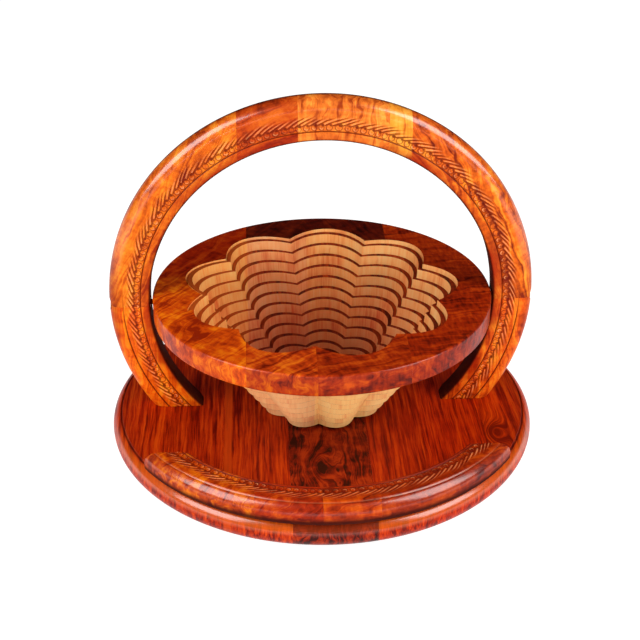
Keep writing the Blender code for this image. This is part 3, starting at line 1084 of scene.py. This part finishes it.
def screwHole(side):
    head, point = screwEnds(side)
    grow = screw["holeClearance"]
    length = abs(head - point)
    over = screw["holeBeyond"]
    outline = [
        (0, over),
        (screw["headRadius"] + grow, over),
        (screw["headRadius"] + grow, 0),
        (screw["shankRadius"] + grow, -screw["headHeight"] - grow),
        (screw["shankRadius"] + grow, -length + screw["pointLength"]),
        (0, -length - grow),
    ]
    hole = turnedSolid("hole", outline, screw["sides"])
    layAlongX(hole, side, head)
    return hole


# where the limbs end, in degrees from the right pivot, with a little to spare
limbDegrees = {"crown": (-2, 182), "left": (178, 226), "right": (-46, 2)}


def buildHandle():
    holes = {-1: screwHole(-1), 1: screwHole(1)}
    low, high = [math.radians(end) for end in limbDegrees["crown"]]
    names = [f"handle_crown_{count + 1}" for count in range(len(crownLooks))]
    seams = seamsOf(names)
    ends = [-ringOuter] + seams + [ringOuter]
    pieces = []
    for count, look in enumerate(crownLooks):
        span = ringSpan(ends[count], ends[count + 1], ringOuter - ring["width"], lower=False)
        pieces.append((names[count], max(span[0], low), min(span[1], high), count, look))
    for side, look in legLooks.items():
        low, high = [math.radians(end) for end in limbDegrees[side]]
        pieces.append((f"handle_leg_{side}", low, high, None, look))
    upright = Matrix.Translation((0, 0, pivotHeight)) @ Matrix.Rotation(math.pi / 2, 4, "X")
    joint = ring["joint"] / 2
    for seed, (node, low, high, strip, look) in enumerate(pieces):
        piece = ringStrip(node + "_carved", low, high, ring)
        piece.data.transform(upright)
        if strip is None:
            cutOff(piece, (0, 0, pivotHeight - joint), (0, 0, 1))
            cutOff(piece, (0, 0, footLevel), (0, 0, -1))
            cutOff(piece, (0, halfBoard - ring["footEase"], footLevel), (0, 1, -1))
        else:
            cutOff(piece, (0, 0, pivotHeight + joint), (0, 0, -1))
            cutStrip(piece, seams, strip, ring["joint"])
        if node.endswith("left") or strip == 0:
            carveOut(piece, holes[-1])
        if node.endswith("right") or strip == len(seams):
            carveOut(piece, holes[1])
        smoothShade(piece, ring["smoothDegrees"])
        look = {**ringWood, **look}
        material = varnishedWood(piece.name, ring["seed"] + seed, carved=True, upright=True, **look)
        finishPiece(piece, "handle", [node], [material])
    for hole in holes.values():
        removeObject(hole)
    print("stage: handle")


# Basket: one disc sawn along a nine-lobed spiral
spiral = {
    "rimWidth": 20.6 * mm,
    "pitch": 4.8 * mm,
    "kerf": 1.0 * mm,
    "lobes": 9,
    "lobeDepthShare": 0.155,
    "lobeTurnDegrees": 4.0,
    "seamLobeShare": 29 / 54,
    "stepsPerTurn": 486,
    "lean": 0.103,
    "bevel": 0.22 * mm,
    "sawWander": 0.035 * mm,
    "sawMemory": 0.6,
    "joint": 0.02 * mm,
    "cutBeyond": 4 * mm,
    "bottomRadius": 40 * mm,
    "ledgeSeed": 91,
    "smoothDegrees": 30,
}

openingRadius = rimRadius - spiral["rimWidth"]
lobeTurn = math.radians(spiral["lobeTurnDegrees"])
seamAngle = lobeTurn + math.tau * spiral["seamLobeShare"]


def sawRadius(turns, angle):
    crown = openingRadius - spiral["pitch"] * turns
    lobe = abs(math.cos(spiral["lobes"] / 2 * (angle - lobeTurn)))
    return crown * (1 - spiral["lobeDepthShare"] * (1 - lobe))


def sawPoint(turns, extra, height):
    # on a sawn wall: outside the cut by extra, height above the middle of the board
    angle = seamAngle - math.tau * turns
    radius = sawRadius(turns, angle) + extra + height * spiral["lean"]
    return radius * math.cos(angle), radius * math.sin(angle)


# painted shade: the rim's side, below its top face, darkened
rimSidePaintedShade = zone(2, 0.0, rimHigh.z - 0.7 * mm, 0.0006, 0.0, 1.0, (226, 212, 170))

rimLooks = {
    "rim_left": tones(
        (246, 132, 12), (212, 78, 4), (150, 38, 3),
        turn=35, knot=(-0.083, -0.048, 0), knotSize=0.009,
        zones=[
            zone(0, -0.106, -0.062, 0.012, 0.014, 0.35, (218, 182, 170)),
            zone(1, 0.014, 0.9, 0.008, 0.006, 0.9, (178, 100, 120)),
        ],
    ),
    "rim_right": tones((192, 68, 8), (154, 38, 4), (84, 12, 3), turn=85, mottle=0.4, curl=0.6),
    "rim_back_1": tones((112, 32, 8), (80, 16, 5), (42, 7, 4), turn=30),
    "rim_front_1": tones((232, 114, 18), (192, 62, 8), (108, 20, 3), turn=50, zones=[rimSidePaintedShade]),
    "rim_back_2": tones((116, 34, 10), (84, 16, 6), (42, 7, 4), turn=-20),
    "rim_front_2": tones((200, 78, 12), (158, 42, 5), (90, 15, 3), turn=70, streaks=0.4),
}

rimWood = {
    "lines": 170,
    "wave": 0.010,
    "contrast": 0.8,
    "streaks": 0.2,
    "mottle": 0.9,
    "curl": 0.4,
}


rim = {
    "edgeRound": 1.5 * mm,
    "inner": 70 * mm,
    "flatInset": 6 * mm,
    "steps": 360,
    "polish": 0.3,
    "polishIn": (2.5 * mm, 1.2 * mm),
    "polishBelow": (1.8 * mm, 0.8 * mm),
    "wallReach": 3 * mm,
    "seed": 71,
}


def rimOutline():
    ease = rim["edgeRound"]
    inner = rim["inner"]
    flat = rimRadius - rim["flatInset"]
    outline = [(inner, halfBoard), (flat, halfBoard)]
    outline += arcPoints((rimRadius - ease, halfBoard - ease), ease, 90, 0, 6)
    outline += arcPoints((rimRadius - ease, ease - halfBoard), ease, 0, -90, 6)
    outline += [(flat, -halfBoard), (inner, -halfBoard)]
    return [(radius, height + pivotHeight) for radius, height in outline]


def rimPolish(place):
    far, near = rim["polishIn"]
    low, high = rim["polishBelow"]
    polish = easeStep(place.xy.length, rimRadius - far, rimRadius - near)
    return polish * easeStep(place.z, rimHigh.z - low, rimHigh.z - high) * rim["polish"]


def sawnPrism(name, middle, reach, outline):
    # an upright prism over one turn of the saw, from a function of the share of it and the height
    count = spiral["stepsPerTurn"]
    prism = addPrimitive(name, bpy.ops.mesh.primitive_circle_add, vertices=count + 1, fill_type="NGON")
    startEdit(prism)
    bpy.ops.mesh.extrude_region_move(TRANSFORM_OT_translate={"value": (0, 0, 1)})
    endEdit()
    for number, vertex in enumerate(prism.data.vertices):
        height = reach if vertex.co.z > 0.5 else -reach
        x, y = outline((number % (count + 1)) / count, height)
        vertex.co = (x, y, middle + height)
    fixNormals(prism)
    return prism


def layPath(mesh, layer, along):
    # the way along the saw's path, from a function of a corner's number and place, and the height
    for loop, value in zip(mesh.loops, layer.data):
        place = mesh.vertices[loop.vertex_index].co
        value.uv = (along(loop.vertex_index, place), place.z)


def buildRim(sawn):
    whole = addOutline("rimWhole", rimOutline())
    spinOutline(whole, rim["steps"])
    reach = halfBoard + spiral["cutBeyond"]
    kerf = spiral["kerf"]
    cutter = sawnPrism("opening", pivotHeight, reach, lambda share, height: sawPoint(share, kerf, height))
    carveOut(whole, cutter)
    removeObject(cutter)
    holes = {-1: screwHole(-1), 1: screwHole(1)}
    seams = seamsOf(["rim_left", "rim_front_1", "rim_front_2", "rim_right"])
    ends = {"rim_left": 0, "rim_right": len(seams)}
    for seed, (node, look) in enumerate(rimLooks.items()):
        piece = copyOf(whole, node + "_wood")
        strip = ends[node] if node in ends else int(node[-1])
        cutStrip(piece, seams, strip, spiral["joint"])
        if "back" in node:
            cutOff(piece, (0, 0, 0), (0, -1, 0))
        if "front" in node:
            cutOff(piece, (0, 0, 0), (0, 1, 0))
        if node == "rim_left":
            carveOut(piece, holes[-1])
        if node == "rim_right":
            carveOut(piece, holes[1])
        smoothShade(piece, spiral["smoothDegrees"])
        setShare(piece, "polish", rimPolish)
        path = piece.data.uv_layers.new(name="path")
        layPath(piece.data, path, lambda number, place: math.atan2(place.y, place.x) * openingRadius)
        middle = Vector((0, 0, pivotHeight))
        material = varnishedWood(piece.name, rim["seed"] + seed, **{**rimWood, **look})
        finishPiece(piece, "basket", [node], [material, sawn["inner"]])
        for face in piece.data.polygons:
            inward = face.center - middle
            upright = abs(face.normal.z) < 0.5 and abs(face.normal.x) < 0.9999
            if upright and face.normal.dot(inward) < -0.3 * inward.length:
                if inward.length < openingRadius + rim["wallReach"]:
                    face.material_index = 1
    removeObject(whole)
    for hole in holes.values():
        removeObject(hole)
    print("stage: rim")


ledgeLook = {
    "light": (170, 62, 14),
    "middle": (132, 36, 8),
    "dark": (76, 14, 5),
    "roughness": 0.45,
    "zones": [
        zone(0, -0.5, -0.045, 0.012, 0.01, 0.7, (190, 84, 26), stain=False),
        # painted shade: the lower ledges, deeper in the bowl, darkened
        zone(2, -0.5, 0.085, 0.05, 0.0, 0.75, (120, 96, 90)),
    ],
}


def loopStrip(name, number):
    # one turn of the sawn strip; it starts where the last one ended and falls by one drop
    start = number - 1
    steps = spiral["stepsPerTurn"]
    bevel = spiral["bevel"]
    random.seed(number)
    rows = []
    path = []
    travelled = 0.0
    last = None
    wander = 0.0
    for step in range(steps + 1):
        turns = start + step / steps
        if step == steps:
            turns -= spiral["joint"] / (math.tau * sawRadius(turns, seamAngle))
        drop = turns * loopDrop
        wander = wander * spiral["sawMemory"] + random.uniform(-1, 1) * spiral["sawWander"]
        if step == 0 or step == steps:
            wander = 0.0
        innerWall = spiral["kerf"] + wander
        row = []
        for turn, extra, height in (
            (turns, wander, halfBoard - bevel),
            (turns, wander, bevel - halfBoard),
            (turns, wander - bevel, -halfBoard),
            (turns + 1, innerWall + bevel, -halfBoard),
            (turns + 1, innerWall, bevel - halfBoard),
            (turns + 1, innerWall, halfBoard - bevel),
            (turns + 1, innerWall + bevel, halfBoard),
            (turns, wander - bevel, halfBoard),
        ):
            x, y = sawPoint(turn, extra, height)
            row.append((x, y, pivotHeight + height - drop))
        if last:
            travelled += (Vector(row[0]) - last).length
        last = Vector(row[0])
        path.append(travelled)
        rows.append(row)
    size = len(rows[0])
    points = [point for row in rows for point in row]
    faces = [tuple(range(size))]
    sides = [0]
    for step in range(steps):
        for corner in range(size):
            after = (corner + 1) % size
            near = step * size
            far = near + size
            faces.append((near + corner, far + corner, far + after, near + after))
            sides.append({0: 1, 4: 2}.get(corner, 0))
    faces.append(tuple(range(steps * size + size - 1, steps * size - 1, -1)))
    sides.append(0)
    mesh = bpy.data.meshes.new(name)
    mesh.from_pydata(points, [], faces)
    strip = addObject(name, mesh)
    layer = mesh.uv_layers.new(name="path")
    layPath(mesh, layer, lambda corner, place: path[corner // size] + number * 0.7)
    return strip, sides


def buildSpiral(sawn):
    ledge = varnishedWood("spiral_ledge", spiral["ledgeSeed"], **ledgeLook)
    for number in range(1, loopCount + 1):
        node = f"spiral_loop_{number:02d}"
        strip, sides = loopStrip(node + "_sawn", number)
        startEdit(strip)
        bpy.ops.mesh.normals_make_consistent(inside=False)
        endEdit()
        smoothShade(strip, spiral["smoothDegrees"])
        materials = [ledge, sawn["outer"], sawn["inner"]]
        finishPiece(strip, f"loop_{number:02d}", [node], materials)
        for face, side in zip(strip.data.polygons, sides):
            face.material_index = side
    buildBottom(ledge, sawn)
    print("stage: spiral loops")


def buildBottom(ledge, sawn):
    low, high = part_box("spiral_bottom")
    middle = (low.z + high.z) / 2
    bottom = sawnPrism(
        "spiral_bottom_sawn", middle, halfBoard, lambda share, height: sawPoint(loopCount + share, 0, height)
    )
    smoothShade(bottom, spiral["smoothDegrees"])
    layer = bottom.data.uv_layers.active or bottom.data.uv_layers.new(name="path")
    finishPiece(bottom, "bottom", ["spiral_bottom"], [ledge, sawn["outer"]])
    layPath(bottom.data, layer, lambda number, place: math.atan2(place.y, place.x) * spiral["bottomRadius"])
    for face in bottom.data.polygons:
        face.material_index = 0 if abs(face.normal.z) > 0.7 else 1


# Pivot screws of brass, countersunk from the outside of the ring

def brass(name):
    material, tree, shader = principled(name)
    place = objectPlace(tree)
    tarnish = ramp(noise(place, 700, 4, 0.6), 0.42, 0.66)
    scratches = noise(vectorMaths("MULTIPLY", place, (500.0, 500.0, 6000.0)), 1.0, 2)
    tarnished = blendColour(tree, tarnish, colour(214, 168, 86), colour(150, 98, 42))
    feed(shader.inputs["Base Color"], tarnished)
    feed(shader.inputs["Roughness"], tarnish * 0.25 + 0.26)
    addBump(shader, scratches, 0.25, 0.1 * mm)
    shader.inputs["Metallic"].default_value = 1.0
    return material


def buildScrews():
    for side, word in ((-1, "left"), (1, "right")):
        head, point = screwEnds(side)
        length = abs(head - point)
        radius = screw["shankRadius"]
        deep = radius - screw["threadDepth"]
        inset, drop = screw["edgeBreak"]
        outline = [(0, 0), (screw["headRadius"] - inset, 0), (screw["headRadius"], -drop)]
        outline.append((radius, -screw["headHeight"]))
        smooth = screw["headHeight"] + screw["plainLength"]
        outline.append((radius, -smooth))
        place = smooth + screw["threadPitch"] / 2
        while place < length - screw["pointLength"]:
            outline.append((deep, -place))
            outline.append((radius, -place - screw["threadPitch"] / 2))
            place += screw["threadPitch"]
        outline.append((0, -length))
        made = turnedSolid(f"pivot_screw_{word}_brass", outline, screw["sides"])
        slot = addPrimitive("slot", bpy.ops.mesh.primitive_cube_add, size=1)
        shape = (4 * screw["headRadius"], screw["slotWidth"], 2 * screw["slotDepth"], 1)
        slot.data.transform(Matrix.Diagonal(shape))
        carveOut(made, slot)
        removeObject(slot)
        layAlongX(made, side, head)
        smoothShade(made, screw["smoothDegrees"])
        finishPiece(made, "basket", [f"pivot_screw_{word}"], [brass(made.name)])
    print("stage: screws")


# Studio: white floor, two tall soft boxes to the left and right of the camera, dark beyond them
studio = {
    "floorSize": 12.0,
    "worldFill": 0.12,
    "boxPower": 14.5,
    "boxSize": (0.85, 1.1),
    "cardDistance": 2.4,
    "cardHeight": 0.12,
    "boxDistance": 1.45,
    "boxAzimuth": 62.0,
    "boxElevation": 36.0,
    "boxColour": (1.0, 0.93, 0.90),
    "fillPower": 13.5,
    "fillSize": (1.2, 0.36),
    "fillDistance": 1.6,
    "fillElevation": 4.0,
    "aimHeight": 0.1,
    "floorDrop": 0.0002,
    "floorBounce": 0.75,
    "floorSeen": 0.36,
    "floorGlow": 0.93,
}

camera = {
    "target": (-1.31 * mm, 0.0, 84.46 * mm),
    "distance": 905.34 * mm,
    "elevation": 29.1,
    "azimuth": -2.88,
    "lens": 71.57,
    "sensor": 36.0,
}


def aim(obj, place, target):
    obj.location = place
    obj.rotation_mode = "QUATERNION"
    obj.rotation_quaternion = (Vector(target) - Vector(place)).to_track_quat("-Z", "Y")


def direction(azimuth, elevation):
    # azimuth 0 is in front of the basket, positive to its right
    turn = math.radians(azimuth)
    rise = math.radians(elevation)
    return Vector((math.sin(turn) * math.cos(rise), -math.cos(turn) * math.cos(rise), math.sin(rise)))


def buildCamera():
    data = bpy.data.cameras.new("camera")
    data.lens = camera["lens"]
    data.sensor_width = camera["sensor"]
    obj = addObject("camera", data)
    target = Vector(camera["target"])
    aim(obj, target + direction(camera["azimuth"], camera["elevation"]) * camera["distance"], target)
    bpy.context.scene.camera = obj


def anyRay(tree):
    # camera, glossy and transmission rays, which see the white background
    kinds = ("Is Camera Ray", "Is Transmission Ray", "Is Glossy Ray")
    rays = newNode(tree, "LightPath").outputs
    seen, clear, glossy = [Signal(tree, rays[kind]) for kind in kinds]
    return maths(tree, "MAXIMUM", maths(tree, "MAXIMUM", seen, clear), glossy)


def buildCards():
    # black cards round and over the set, behind the lamps, that only the varnish reflects
    material, _, shader = principled("blackCard")
    shader.inputs["Base Color"].default_value = (0.01, 0.01, 0.01, 1)
    shader.inputs["Specular IOR Level"].default_value = 0.0
    size = 2 * studio["cardDistance"]
    place = (0, 0, studio["cardHeight"] + size / 2)
    cards = addPrimitive("blackCards", bpy.ops.mesh.primitive_cube_add, size=size, location=place)
    startEdit(cards)
    above = (0, 0, studio["cardHeight"] + 10 * mm)
    bpy.ops.mesh.bisect(plane_co=above, plane_no=(0, 0, -1), clear_outer=True)
    bpy.ops.mesh.select_all(action="SELECT")
    bpy.ops.mesh.normals_make_consistent(inside=True)
    endEdit()
    cards.data.materials.append(material)
    cards.visible_camera = False
    cards.visible_diffuse = False
    cards.visible_transmission = False
    cards.visible_shadow = False


def addLamp(name, kind, away):
    data = bpy.data.lights.new(name, "AREA")
    data.shape = "RECTANGLE"
    data.size, data.size_y = studio[kind + "Size"]
    data.energy = studio[kind + "Power"]
    lamp = addObject(name, data)
    target = Vector((0, 0, studio["aimHeight"]))
    aim(lamp, away * studio[kind + "Distance"] + target, target)
    return lamp


def buildStudio():
    for side in (-1, 1):
        away = direction(studio["boxAzimuth"] * side, studio["boxElevation"])
        lamp = addLamp(f"softBox{side}", "box", away)
        lamp.data.color = studio["boxColour"]
    lamp = addLamp("frontFill", "fill", direction(0, studio["fillElevation"]))
    lamp.visible_glossy = False
    world = bpy.data.worlds.new("room")
    world.use_nodes = True
    bpy.context.scene.world = world
    tree = world.node_tree
    background = tree.nodes["Background"]
    background.inputs["Color"].default_value = (1, 1, 1, 1)
    strength = anyRay(tree) * (1 - studio["worldFill"]) + studio["worldFill"]
    feed(background.inputs["Strength"], strength)

    place = (0, 0, -studio["floorDrop"])
    floor = addPrimitive("floor", bpy.ops.mesh.primitive_plane_add, size=studio["floorSize"], location=place)
    material = bpy.data.materials.new("floor")
    material.use_nodes = True
    tree = material.node_tree
    tree.nodes.clear()
    plain = newNode(tree, "BsdfDiffuse", (*[studio["floorBounce"]] * 3, 1)).outputs[0]
    soft = newNode(tree, "BsdfDiffuse", (*[studio["floorSeen"]] * 3, 1)).outputs[0]
    glow = newNode(tree, "Emission", (1, 1, 1, 1), studio["floorGlow"]).outputs[0]
    lit = newNode(tree, "AddShader", Signal(tree, soft), Signal(tree, glow)).outputs[0]
    mixed = newNode(tree, "MixShader", anyRay(tree), Signal(tree, plain), Signal(tree, lit)).outputs[0]
    newNode(tree, "OutputMaterial", Signal(tree, mixed))
    floor.data.materials.append(material)
    bpy.context.scene.view_settings.view_transform = "Standard"
    print("stage: studio")


buildCamera()
buildBase()
buildRail()
buildHandle()
sawnMaterials = {
    "inner": sawnWood("sawn_inside", (255, 214, 148), (255, 184, 112), (232, 106, 58), paintedLowShade=0.58),
    "outer": sawnWood("sawn_outside", (255, 216, 152), (255, 200, 132), (240, 142, 90)),
}
buildRim(sawnMaterials)
buildSpiral(sawnMaterials)
buildScrews()
buildCards()
buildStudio()

print("stage: done")
